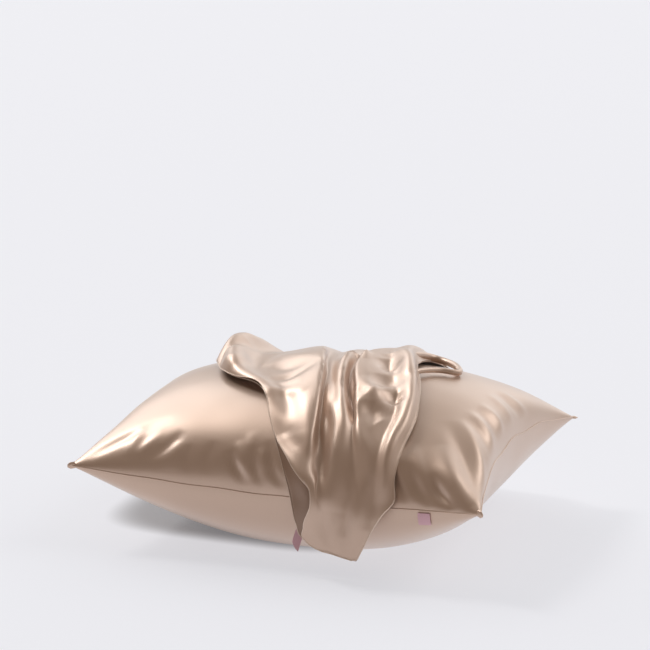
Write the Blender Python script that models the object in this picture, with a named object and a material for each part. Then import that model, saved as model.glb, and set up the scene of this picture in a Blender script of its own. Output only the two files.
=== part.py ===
"""A satin pillowcase draped over a plump pillow that wears a matching case.

Run it with blender --background --python part.py, or from Blender's text editor. Metres, +Z up.
The pillow lies with its long side along X and its front side towards -Y. The origin is the middle
of the flat spot on which it rests. The empty case hangs over the crown with one corner in front.
Its place on the pillow is given by two distances: x, across, and along, which is the distance
that cloth would run over the pillow from the crown line, towards the front where it is positive.
"""

from collections import namedtuple

import bpy
import numpy as np

# The pillow: half sizes to the seam's corners, and how the seam and the two faces curve.
HALF_LENGTH = 0.310
HALF_WIDTH = 0.235
SHORT_SIDE_DRAWN_IN = 0.030
LONG_SIDE_DRAWN_IN = 0.055
SHORT_SEAM_TUCK = 0.022
LONG_SEAM_TUCK = 0.007
TUCK_REACH = 9
CORNER_HEIGHT = 0.120
LONG_SIDE_SAG = 0.0155
SHORT_SIDE_LIFT = 0.028
FRONT_TO_BACK_RISE = 0.006
CROWN_HEIGHT = 0.117
CROWN_GROWS_TO_RIGHT = 0.12
UNDERSIDE_DEPTH = 0.145
FLOOR_BLEND = 0.010
TOP_ROUNDNESS = (0.57, 0.47)
UNDERSIDE_ROUNDNESS = (0.48, 0.54)
PILLOW_STEPS = (26, 20)

# The path that cloth follows over the pillow and down past its seams.
CLOTH_GAP = 0.0032
SEAM_BEND = 0.012
HANG_DRIFT = 0.004
PATH_SAMPLES = 400
BEND_SAMPLES = 12
HANG_SAMPLES = 30
HANG_SHARE = 1.4
BASE_X = np.linspace(-0.30, 0.30, 121)
BASE_ALONG = np.linspace(-0.39, 0.39, 391)

# The draped case: two sewn panels, one just under the other.
PANEL_THICKNESS = 0.0012
PANEL_SPACING = 0.0022
PANEL_COLUMNS = 36
ROW_SAMPLES = 500
LEAST_WIDTH = 0.006
LEAST_STRIP = 0.0005
EDGE_LIFT_REACH = 0.020
SHARPEST_TURN = 0.5

# Labels, folded ribbon sewn into a seam.
LABEL_WIDTH = 0.018
LABEL_LENGTH = 0.019
LABEL_THICKNESS = 0.0012
LABEL_CELLS = 4
PILLOW_LABEL_X = 0.226
PILLOW_LABEL_GAP = 0.0016
LABEL_START = 0.0030
DRAPED_LABEL_SPAN = (0.331, 0.345)
DRAPED_LABEL_GAP = 0.0016
DRAPED_LABEL_HANG = (-0.20, -0.35, -1.0)

SATIN_COLOUR = (0.60, 0.47, 0.37, 1.0)
LABEL_COLOUR = (0.72, 0.42, 0.46, 1.0)

# Across the case: where each row of the front panel starts and ends, how far the back panel shows
# past its left edge, how high that edge stands, and how many mesh rows run to the next section.
Section = namedtuple("Section", "along left right strip edge_lift rows")
SECTIONS = (
    Section(-0.376, -0.100, 0.070, 0.001, 0.000, 1),
    Section(-0.350, -0.200, 0.165, 0.001, 0.000, 1),
    Section(-0.310, -0.238, 0.226, 0.001, 0.000, 1),
    Section(-0.270, -0.240, 0.224, 0.001, 0.000, 1),
    Section(-0.230, -0.230, 0.186, 0.001, 0.001, 1),
    Section(-0.190, -0.205, 0.138, 0.001, 0.002, 2),
    Section(-0.120, -0.182, 0.126, 0.001, 0.004, 1),
    Section(-0.060, -0.181, 0.122, 0.001, 0.005, 1),
    Section(-0.010, -0.175, 0.130, 0.001, 0.005, 1),
    Section(0.035, -0.155, 0.151, 0.001, 0.005, 1),
    Section(0.070, -0.120, 0.163, 0.001, 0.004, 1),
    Section(0.100, -0.070, 0.171, 0.001, 0.004, 1),
    Section(0.130, -0.045, 0.178, 0.001, 0.003, 1),
    Section(0.165, -0.028, 0.179, 0.001, 0.003, 1),
    Section(0.205, -0.004, 0.177, 0.004, 0.005, 1),
    Section(0.240, 0.032, 0.178, 0.022, 0.010, 1),
    Section(0.270, 0.061, 0.183, 0.037, 0.010, 1),
    Section(0.295, 0.067, 0.168, 0.035, 0.010, 1),
    Section(0.325, 0.057, 0.152, 0.016, 0.005, 1),
    Section(0.345, 0.055, 0.143, 0.003, 0.001, 1),
    Section(0.357, 0.076, 0.137, 0.001, 0.000, 1),
    Section(0.366, 0.126, 0.133, 0.001, 0.000, 0),
)

# Each fold is a ridge that runs along the case. At each of its stations it has a middle, a height,
# a foot on either side, and a lean that carries its crest sideways over its neighbour.
Station = namedtuple("Station", "along x height left_foot right_foot lean")
FOLDS = {
    "left roll": (
        Station(-0.350, -0.110, 0.004, 0.024, 0.026, 0.000),
        Station(-0.280, -0.155, 0.016, 0.024, 0.026, 0.000),
        Station(-0.190, -0.162, 0.012, 0.026, 0.026, 0.000),
        Station(-0.110, -0.160, 0.025, 0.014, 0.012, 0.000),
        Station(-0.040, -0.159, 0.034, 0.011, 0.012, -0.004),
        Station(0.020, -0.144, 0.028, 0.011, 0.014, -0.004),
        Station(0.065, -0.112, 0.014, 0.012, 0.016, -0.002),
        Station(0.105, -0.066, 0.003, 0.010, 0.018, 0.000),
        Station(0.150, -0.030, 0.000, 0.010, 0.018, 0.000),
    ),
    "left pleat": (
        Station(-0.350, -0.060, 0.004, 0.024, 0.024, 0.000),
        Station(-0.280, -0.080, 0.014, 0.024, 0.022, 0.000),
        Station(-0.190, -0.060, 0.010, 0.030, 0.022, 0.000),
        Station(-0.090, -0.048, 0.009, 0.032, 0.014, 0.004),
        Station(-0.040, -0.034, 0.013, 0.026, 0.010, 0.004),
        Station(0.000, -0.019, 0.016, 0.024, 0.010, 0.004),
        Station(0.050, 0.000, 0.017, 0.022, 0.010, 0.004),
        Station(0.110, 0.018, 0.016, 0.022, 0.010, 0.004),
        Station(0.165, 0.032, 0.014, 0.020, 0.010, 0.004),
        Station(0.205, 0.040, 0.012, 0.018, 0.010, 0.004),
        Station(0.240, 0.046, 0.009, 0.016, 0.010, 0.002),
        Station(0.270, 0.054, 0.006, 0.014, 0.011, 0.000),
        Station(0.300, 0.060, 0.003, 0.012, 0.012, 0.000),
        Station(0.345, 0.066, 0.000, 0.012, 0.014, 0.000),
    ),
    "middle roll": (
        Station(-0.350, 0.000, 0.004, 0.022, 0.022, 0.000),
        Station(-0.280, -0.008, 0.014, 0.022, 0.022, 0.000),
        Station(-0.190, 0.006, 0.010, 0.022, 0.020, 0.000),
        Station(-0.080, 0.018, 0.007, 0.016, 0.012, 0.000),
        Station(-0.020, 0.024, 0.010, 0.010, 0.010, 0.002),
        Station(0.020, 0.030, 0.015, 0.010, 0.010, 0.004),
        Station(0.064, 0.042, 0.017, 0.010, 0.010, 0.004),
        Station(0.104, 0.056, 0.017, 0.010, 0.010, 0.004),
        Station(0.135, 0.069, 0.016, 0.010, 0.010, 0.003),
        Station(0.170, 0.082, 0.014, 0.010, 0.010, 0.002),
        Station(0.210, 0.090, 0.012, 0.010, 0.012, 0.000),
        Station(0.252, 0.092, 0.008, 0.012, 0.014, 0.000),
        Station(0.300, 0.094, 0.000, 0.014, 0.014, 0.000),
    ),
    "right pleat": (
        Station(-0.350, 0.060, 0.004, 0.022, 0.022, 0.000),
        Station(-0.280, 0.075, 0.014, 0.022, 0.022, 0.000),
        Station(-0.190, 0.070, 0.010, 0.020, 0.026, 0.000),
        Station(-0.080, 0.066, 0.013, 0.012, 0.030, 0.000),
        Station(-0.030, 0.058, 0.014, 0.010, 0.032, -0.004),
        Station(0.026, 0.062, 0.014, 0.010, 0.036, -0.004),
        Station(0.098, 0.088, 0.014, 0.010, 0.034, -0.004),
        Station(0.135, 0.101, 0.013, 0.010, 0.030, -0.004),
        Station(0.164, 0.110, 0.011, 0.010, 0.026, -0.003),
        Station(0.200, 0.122, 0.008, 0.010, 0.022, 0.000),
        Station(0.240, 0.138, 0.003, 0.014, 0.014, 0.000),
        Station(0.280, 0.146, 0.000, 0.014, 0.014, 0.000),
    ),
    "right roll": (
        Station(-0.350, 0.110, 0.004, 0.024, 0.024, 0.000),
        Station(-0.280, 0.140, 0.012, 0.024, 0.024, 0.000),
        Station(-0.190, 0.105, 0.006, 0.024, 0.020, 0.000),
        Station(-0.110, 0.098, 0.017, 0.018, 0.012, 0.000),
        Station(-0.060, 0.100, 0.021, 0.016, 0.010, 0.002),
        Station(0.012, 0.126, 0.021, 0.014, 0.010, 0.004),
        Station(0.066, 0.148, 0.019, 0.011, 0.010, 0.004),
        Station(0.108, 0.160, 0.017, 0.010, 0.010, 0.004),
        Station(0.154, 0.166, 0.015, 0.010, 0.010, 0.004),
        Station(0.190, 0.164, 0.013, 0.010, 0.010, 0.004),
        Station(0.222, 0.164, 0.011, 0.010, 0.010, 0.003),
        Station(0.250, 0.166, 0.007, 0.010, 0.010, 0.002),
        Station(0.280, 0.162, 0.002, 0.010, 0.010, 0.000),
        Station(0.310, 0.154, 0.000, 0.010, 0.010, 0.000),
    ),
}


def clear_scene():
    for obj in list(bpy.data.objects):
        bpy.data.objects.remove(obj)


def make_material(name, colour, roughness):
    material = bpy.data.materials.new(name)
    material.use_nodes = True
    shader = material.node_tree.nodes["Principled BSDF"]
    shader.inputs["Base Color"].default_value = colour
    shader.inputs["Roughness"].default_value = roughness
    shader.inputs["Metallic"].default_value = 0.0
    return material


def add_object(name, points, faces, material):
    mesh = bpy.data.meshes.new(name)
    mesh.from_pydata([tuple(point) for point in points], [], faces)
    mesh.validate()
    mesh.materials.append(material)
    mesh.shade_smooth()
    obj = bpy.data.objects.new(name, mesh)
    bpy.context.scene.collection.objects.link(obj)
    return obj


# ---- The pillow. s and t run from -1 to 1 across its length and its width.


def seam_height(s, t):
    sag = LONG_SIDE_SAG * (1 - s**2) * t**2
    lift = SHORT_SIDE_LIFT * (1 - t**2) * s**2
    return CORNER_HEIGHT - sag + lift + FRONT_TO_BACK_RISE * t


def bulge(s, t, roundness):
    """1 at the middle and 0 all along the seam."""
    return np.clip(1 - s**2, 0, 1) ** roundness[0] * np.clip(1 - t**2, 0, 1) ** roundness[1]


def top_height(s, t):
    crown = CROWN_HEIGHT * (1 + CROWN_GROWS_TO_RIGHT * s)
    return seam_height(s, t) + crown * bulge(s, t, TOP_ROUNDNESS)


def underside_height(s, t):
    """The lower face, which flattens softly where it meets the floor."""
    free = seam_height(s, t) - UNDERSIDE_DEPTH * bulge(s, t, UNDERSIDE_ROUNDNESS)
    blend = (free + FLOOR_BLEND) ** 2 / (4 * FLOOR_BLEND)
    return np.where(free > FLOOR_BLEND, free, np.where(free < -FLOOR_BLEND, 0.0, blend))


def pillow_xy(s, t):
    """The place of a point, with the seam tucked in behind the faces that bulge past it."""
    x = HALF_LENGTH * s * (1 - SHORT_SIDE_DRAWN_IN * (1 - t**2))
    y = HALF_WIDTH * t * (1 - LONG_SIDE_DRAWN_IN * (1 - s**2))
    x_tuck = SHORT_SEAM_TUCK * (1 - t**2) * abs(s) ** TUCK_REACH
    y_tuck = LONG_SEAM_TUCK * (1 - s**2) * abs(t) ** TUCK_REACH
    return x - np.sign(s) * x_tuck, y - np.sign(t) * y_tuck


def pillow_st(x, y):
    """The s and t of a point on the pillow, found by repeated substitution."""
    s, t = x / HALF_LENGTH, y / HALF_WIDTH
    for _ in range(12):
        s, t = (
            np.clip(x / (HALF_LENGTH * (1 - SHORT_SIDE_DRAWN_IN * (1 - t**2))), -1, 1),
            np.clip(y / (HALF_WIDTH * (1 - LONG_SIDE_DRAWN_IN * (1 - s**2))), -1, 1),
        )
    return s, t


def build_pillow(material):
    """One closed solid: an upper and a lower grid that share the seam."""
    columns, rows = PILLOW_STEPS
    s_values = np.sin(np.linspace(-np.pi / 2, np.pi / 2, columns + 1))
    t_values = np.sin(np.linspace(-np.pi / 2, np.pi / 2, rows + 1))
    points = []
    index = {}
    for side, height in (("top", top_height), ("under", underside_height)):
        for i, s in enumerate(s_values):
            for j, t in enumerate(t_values):
                on_seam = i in (0, columns) or j in (0, rows)
                key = (i, j, "seam" if on_seam else side)
                if key not in index:
                    index[key] = len(points)
                    x, y = pillow_xy(s, t)
                    z = seam_height(s, t) if on_seam else height(s, t)
                    points.append((x, y, float(z)))
    faces = []
    for side in ("top", "under"):
        for i in range(columns):
            for j in range(rows):
                corners = ((i, j), (i + 1, j), (i + 1, j + 1), (i, j + 1))
                face = [index.get((*c, side), index.get((*c, "seam"))) for c in corners]
                faces.append(face if side == "top" else face[::-1])
    return add_object("pillow", points, faces, material)


# ---- The surface that the draped cloth follows, as a grid over x and along.


def front_to_back_path(x):
    """Distances, y and z of the path over the pillow at x, from floor to floor."""
    s = x / HALF_LENGTH
    edge = HALF_WIDTH * (1 - LONG_SIDE_DRAWN_IN * (1 - s**2))
    y_over = edge * np.cos(np.linspace(0, np.pi, PATH_SAMPLES))
    z_over = top_height(*pillow_st(x + 0 * y_over, y_over)) + CLOTH_GAP
    turn = np.linspace(0, np.pi / 2, BEND_SAMPLES)[1:]
    drop = np.linspace(0, HANG_SHARE, HANG_SAMPLES)[1:]

    def hang(side, z_seam):
        y_bend = side * (edge + SEAM_BEND * np.sin(turn))
        z_bend = z_seam - SEAM_BEND * (1 - np.cos(turn))
        y_drop = y_bend[-1] + side * HANG_DRIFT * drop
        z_drop = z_bend[-1] * (1 - drop)
        return np.append(y_bend, y_drop), np.append(z_bend, z_drop)

    y_front, z_front = hang(-1, z_over[-1])
    y_back, z_back = hang(1, z_over[0])
    y = np.concatenate([y_back[::-1], y_over, y_front])
    z = np.concatenate([z_back[::-1], z_over, z_front])
    along = np.append(0, np.cumsum(np.hypot(np.diff(y), np.diff(z))))
    crown = len(y_back) + PATH_SAMPLES // 2
    return along - along[crown], y, z


def base_surface():
    """Points and upward normals of the followed surface on the BASE_X by BASE_ALONG grid."""
    points = np.zeros((len(BASE_X), len(BASE_ALONG), 3))
    for i, x in enumerate(BASE_X):
        along, y, z = front_to_back_path(x)
        points[i, :, 0] = x
        points[i, :, 1] = np.interp(BASE_ALONG, along, y)
        points[i, :, 2] = np.interp(BASE_ALONG, along, z)
    across = np.gradient(points, BASE_X, axis=0)
    down = np.gradient(points, BASE_ALONG, axis=1)
    normals = np.cross(down, across)
    normals /= np.linalg.norm(normals, axis=2, keepdims=True)
    return points, normals


def sample_grid(grid, x, along):
    """Bilinear values of a grid of vectors at each x and along."""
    i = np.clip((x - BASE_X[0]) / (BASE_X[1] - BASE_X[0]), 0, len(BASE_X) - 1.001)
    j = np.clip(
        (along - BASE_ALONG[0]) / (BASE_ALONG[1] - BASE_ALONG[0]), 0, len(BASE_ALONG) - 1.001
    )
    i0, j0 = i.astype(int), j.astype(int)
    u, v = (i - i0)[:, None], (j - j0)[:, None]
    low = grid[i0, j0] * (1 - v) + grid[i0, j0 + 1] * v
    high = grid[i0 + 1, j0] * (1 - v) + grid[i0 + 1, j0 + 1] * v
    return low * (1 - u) + high * u


# ---- The draped case.


def smooth_column(rows, name, along):
    """A column of a table at a distance along, on a smooth curve through its rows."""
    places = [row.along for row in rows]
    values = np.array([getattr(row, name) for row in rows])
    slopes = np.gradient(values, places)
    k = int(np.clip(np.searchsorted(places, along) - 1, 0, len(rows) - 2))
    span = places[k + 1] - places[k]
    q = float(np.clip((along - places[k]) / span, 0, 1))
    start = values[k] * (1 + 2 * q) * (1 - q) ** 2 + slopes[k] * span * q * (1 - q) ** 2
    end = values[k + 1] * (3 - 2 * q) * q**2 - slopes[k + 1] * span * q**2 * (1 - q)
    return float(start + end)


def fold_shape(x, along):
    """How far the folds lift the cloth and carry it sideways, at each x of one row."""
    height = np.zeros_like(x)
    shift = np.zeros_like(x)
    for stations in FOLDS.values():
        if not stations[0].along <= along <= stations[-1].along:
            continue
        middle, top, left, right, lean = (
            smooth_column(stations, name, along) for name in Station._fields[1:]
        )
        away = np.where(x < middle, (x - middle) / left, (x - middle) / right)
        ridge = np.exp(-(away**2) / 2)
        height = np.hypot(height, top * ridge)
        shift += lean * ridge
    return height, shift


def mesh_rows():
    """The distances along at which the panels have a row of points."""
    rows = [SECTIONS[0].along]
    for section, following in zip(SECTIONS, SECTIONS[1:]):
        steps = np.linspace(section.along, following.along, section.rows + 1)[1:]
        rows.extend(steps)
    return rows


def front_row_x(left, right, along):
    """The x values, before any lean, that divide a row of cloth into equal lengths."""
    x = np.linspace(left, right, ROW_SAMPLES)
    height, shift = fold_shape(x, along)
    lengths = np.append(0, np.cumsum(np.hypot(np.diff(x + shift), np.diff(height))))
    return np.interp(np.linspace(0, lengths[-1], PANEL_COLUMNS + 1), lengths, x)


def cloth_row(surface, x, along):
    """Points of the cloth at each x of one row, on top of the folds."""
    height, shift = fold_shape(x, along)
    places = np.full_like(x, along)
    points = sample_grid(surface[0], x + shift, places)
    normals = sample_grid(surface[1], x + shift, places)
    normals /= np.linalg.norm(normals, axis=1, keepdims=True)
    return points + normals * height[:, None]


def even_offsets(grid):
    """Vectors that move each point of a grid away so that its faces move by one metre each."""
    sides = np.cross(grid[1:, 1:] - grid[:-1, :-1], grid[:-1, 1:] - grid[1:, :-1])
    sides /= np.linalg.norm(sides, axis=2, keepdims=True)
    padded = np.pad(sides, ((1, 1), (1, 1), (0, 0)), mode="edge")
    around = np.stack([padded[:-1, :-1], padded[:-1, 1:], padded[1:, :-1], padded[1:, 1:]])
    normals = around.sum(axis=0)
    normals /= np.linalg.norm(normals, axis=2, keepdims=True)
    steepest = (around * normals).sum(axis=3).min(axis=0)
    return normals / np.maximum(steepest, SHARPEST_TURN)[:, :, None]


def panel_grids(surface):
    """The middle surfaces of the front and the back panel, as grids of points.

    The back panel has two more columns, which show past the front panel's left edge.
    """
    back, lifts = [], []
    for along in mesh_rows():
        left, right, strip, lift = (
            smooth_column(SECTIONS, name, along) for name in Section._fields[1:5]
        )
        right = max(right, left + LEAST_WIDTH)
        x = front_row_x(left, right, along)
        outer = left - max(strip, LEAST_STRIP) * np.array([1.0, 0.5])
        back.append(cloth_row(surface, np.append(outer, x), along))
        lifts.append(PANEL_SPACING + lift * np.exp(-(((x - left) / EDGE_LIFT_REACH) ** 2)))
    back = np.array(back)
    front = back[:, 2:] + even_offsets(back)[:, 2:] * np.array(lifts)[:, :, None]
    return front, back


def add_sheet(name, grid, thickness, material):
    """A closed sheet of even thickness round the middle surface that a grid gives."""
    rows, columns = grid.shape[:2]
    offset = even_offsets(grid) * thickness / 2
    points = np.concatenate([(grid + offset).reshape(-1, 3), (grid - offset).reshape(-1, 3)])
    half = rows * columns
    faces = []
    for i in range(rows - 1):
        for j in range(columns - 1):
            a, b = i * columns + j, (i + 1) * columns + j
            faces.append((a, b, b + 1, a + 1))
            faces.append((half + a, half + a + 1, half + b + 1, half + b))
    rim = list(range(columns))
    rim += [i * columns + columns - 1 for i in range(1, rows)]
    rim += [(rows - 1) * columns + j for j in range(columns - 2, -1, -1)]
    rim += [i * columns for i in range(rows - 2, 0, -1)]
    for a, b in zip(rim, rim[1:] + rim[:1]):
        faces.append((a, b, half + b, half + a))
    return add_object(name, points, faces, material)


def build_draped_case(surface, material):
    front, back = panel_grids(surface)
    add_sheet("draped_front_panel", front, PANEL_THICKNESS, material)
    add_sheet("draped_back_panel", back, PANEL_THICKNESS, material)


# ---- The labels. Each is a small tab of folded ribbon that hangs from a seam.


def build_pillow_label(material):
    """It hangs from the front seam and lies along the underside."""
    columns = PILLOW_LABEL_X + np.linspace(-0.5, 0.5, LABEL_CELLS + 1) * LABEL_WIDTH
    downs = LABEL_START + np.linspace(0, 1, LABEL_CELLS + 1) * LABEL_LENGTH
    t = np.linspace(-1, -0.6, PATH_SAMPLES)
    grid = np.zeros((LABEL_CELLS + 1, LABEL_CELLS + 1, 3))
    for j, x in enumerate(columns):
        s = x / HALF_LENGTH
        y = pillow_xy(s, t)[1]
        z = underside_height(s, t)
        distance = np.append(0, np.cumsum(np.hypot(np.diff(y), np.diff(z))))
        slope_y = np.interp(downs, distance, np.gradient(y, distance))
        slope_z = np.interp(downs, distance, np.gradient(z, distance))
        grid[:, j, 0] = x
        grid[:, j, 1] = np.interp(downs, distance, y) + PILLOW_LABEL_GAP * slope_z
        grid[:, j, 2] = np.interp(downs, distance, z) - PILLOW_LABEL_GAP * slope_y
    add_sheet("pillow_label", grid, LABEL_THICKNESS, material)


def build_draped_label(surface, material):
    """It hangs from the left seam of the draped case, near the front corner."""
    rows = np.linspace(*DRAPED_LABEL_SPAN, LABEL_CELLS + 1)
    left = np.array([smooth_column(SECTIONS, "left", along) for along in rows])
    strip = np.array([smooth_column(SECTIONS, "strip", along) for along in rows])
    edge_x = left - np.maximum(strip, LEAST_STRIP) - DRAPED_LABEL_GAP
    edge = sample_grid(surface[0], edge_x, rows)
    hang = np.array(DRAPED_LABEL_HANG) / np.linalg.norm(DRAPED_LABEL_HANG) * LABEL_LENGTH
    shares = np.linspace(0, 1, LABEL_CELLS + 1)
    grid = edge[None, :, :] + shares[:, None, None] * hang
    add_sheet("draped_label", grid, LABEL_THICKNESS, material)


def main():
    clear_scene()
    satin = make_material("champagne_satin", SATIN_COLOUR, 0.35)
    ribbon = make_material("pink_label", LABEL_COLOUR, 0.60)
    surface = base_surface()
    build_pillow(satin)
    build_pillow_label(ribbon)
    build_draped_case(surface, satin)
    build_draped_label(surface, ribbon)


main()
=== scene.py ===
"""The looks of a satin pillowcase draped over a plump pillow in a matching case.

The pillow and the two panels of the draped case are rebuilt here as fine surfaces on the shapes of
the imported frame. Places on the pillow are given by x and by along, the distance that cloth runs
over the pillow from its crown line towards the front.
"""

import math
from collections import namedtuple

import bpy
import numpy as np
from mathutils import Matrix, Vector, noise


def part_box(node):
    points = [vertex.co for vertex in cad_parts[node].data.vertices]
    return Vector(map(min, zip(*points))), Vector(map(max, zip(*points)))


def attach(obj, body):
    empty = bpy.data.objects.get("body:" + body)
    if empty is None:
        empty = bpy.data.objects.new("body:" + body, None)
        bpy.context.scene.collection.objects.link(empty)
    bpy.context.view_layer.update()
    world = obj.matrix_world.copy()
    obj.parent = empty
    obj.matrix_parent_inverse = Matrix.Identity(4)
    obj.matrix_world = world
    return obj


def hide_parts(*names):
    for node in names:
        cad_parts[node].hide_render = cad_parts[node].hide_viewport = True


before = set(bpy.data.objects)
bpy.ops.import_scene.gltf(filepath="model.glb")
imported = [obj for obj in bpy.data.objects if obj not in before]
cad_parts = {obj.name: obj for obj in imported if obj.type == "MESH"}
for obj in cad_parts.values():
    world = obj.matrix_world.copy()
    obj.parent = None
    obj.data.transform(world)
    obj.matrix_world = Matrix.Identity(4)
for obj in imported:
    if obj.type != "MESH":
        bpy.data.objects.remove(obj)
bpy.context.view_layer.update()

# ---- The pillow's shape, as in the frame.
HALF_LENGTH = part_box("pillow")[1][0]
HALF_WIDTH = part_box("pillow")[1][1]
SHORT_SIDE_DRAWN_IN = 0.030
LONG_SIDE_DRAWN_IN = 0.055
SHORT_SEAM_TUCK = 0.022
LONG_SEAM_TUCK = 0.007
TUCK_REACH = 9
CORNER_HEIGHT = 0.120
LONG_SIDE_SAG = 0.0155
SHORT_SIDE_LIFT = 0.028
FRONT_TO_BACK_RISE = 0.006
CROWN_HEIGHT = 0.117
CROWN_GROWS_TO_RIGHT = 0.12
UNDERSIDE_DEPTH = 0.145
FLOOR_BLEND = 0.010
TOP_ROUNDNESS = (0.57, 0.47)
UNDERSIDE_ROUNDNESS = (0.48, 0.54)
PLACE_STEPS = 12

# ---- The fine surface of the pillow, its seam and its ears.
PILLOW_CELLS = (190, 140)
RIPPLE_SPACING = 0.060
RIPPLE_HEIGHT = 0.0012
RIPPLE_FADE = (0.25, 0.25)
UNDERSIDE_CLOTH_SHIFT = (1.0, 0.0)
SEAM_RADIUS = 0.0011
SEAM_SIDES = 8
SEAM_CELLS = 120
SEAM_WAVE_REACH = 16
# A wave's height, how fast it repeats along the seam, and where it starts.
SHORT_SEAM_WAVE = (0.0024, 13, 0.8)
LONG_SEAM_WAVE = (0.0007, 19, 0.5)

Ear = namedtuple("Ear", "half_width flatness")
FRONT_EAR = Ear(0.0022, 2.3)
BACK_EAR = Ear(0.0045, 0.45)
EAR_LENGTH = 0.0075
EAR_OUTWARD = (0.80, 0.60, -0.10)
EAR_SIDES = 16
# An ear starts inside the corner and ends at its tip. Both are in multiples of EAR_LENGTH.
EAR_RUN = (-0.9, 0.6)
EAR_RINGS = 12
EAR_NARROWING = 1.2
EAR_TIP_SHARE = 0.4

# ---- The path that the draped cloth follows.
CLOTH_GAP = 0.0032
SEAM_BEND = 0.012
HANG_DRIFT = 0.004
PATH_SAMPLES = 400
BEND_SAMPLES = 12
HANG_SAMPLES = 30
HANG_SHARE = 1.4
SOFTEN_REACH = 0.015
SOFTEN_STEPS = 25
BASE_X = np.linspace(-0.30, 0.30, 121)
BASE_ALONG = np.linspace(-0.39, 0.39, 391)

# ---- The draped case.
PANEL_SPACING = 0.0020
CLOTH_THICKNESS = 0.0006
HEM_RADIUS = 0.0008
HEM_SIDES = 6
ROWS_BEHIND = 46
ROWS_IN_FRONT = 204
FINE_FROM = -0.140
PANEL_COLUMNS = 186
ROW_SAMPLES = 700
LEAST_WIDTH = 0.006
LEAST_STRIP = 0.0005
EDGE_LIFT_REACH = 0.020
STRIP_COLUMNS = 8
STRIP_INNER_SHARE = 0.1
ROUTE_SAMPLES = 14
CREASE_REACH = 3.2

# The x of a panel's two edges, how far the back panel shows past the front one's left edge, and
# how far that edge stands off.
Section = namedtuple("Section", "along left right strip edge_lift")
SECTIONS = (
    Section(-0.376, -0.100, 0.070, 0.001, 0.000),
    Section(-0.350, -0.200, 0.165, 0.001, 0.000),
    Section(-0.310, -0.238, 0.226, 0.001, 0.000),
    Section(-0.270, -0.240, 0.224, 0.001, 0.000),
    Section(-0.230, -0.230, 0.186, 0.001, 0.001),
    Section(-0.190, -0.205, 0.138, 0.001, 0.002),
    Section(-0.120, -0.182, 0.126, 0.001, 0.004),
    Section(-0.060, -0.181, 0.122, 0.001, 0.005),
    Section(-0.010, -0.175, 0.130, 0.001, 0.005),
    Section(0.035, -0.155, 0.151, 0.001, 0.005),
    Section(0.070, -0.120, 0.163, 0.001, 0.004),
    Section(0.100, -0.070, 0.171, 0.001, 0.004),
    Section(0.130, -0.045, 0.178, 0.001, 0.003),
    Section(0.165, -0.028, 0.179, 0.001, 0.003),
    Section(0.205, -0.004, 0.177, 0.004, 0.005),
    Section(0.240, 0.032, 0.178, 0.022, 0.011),
    Section(0.270, 0.061, 0.183, 0.037, 0.013),
    Section(0.295, 0.067, 0.168, 0.035, 0.011),
    Section(0.325, 0.057, 0.152, 0.016, 0.005),
    Section(0.345, 0.055, 0.143, 0.003, 0.001),
    Section(0.357, 0.076, 0.137, 0.001, 0.000),
    Section(0.366, 0.126, 0.133, 0.001, 0.000),
)

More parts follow.
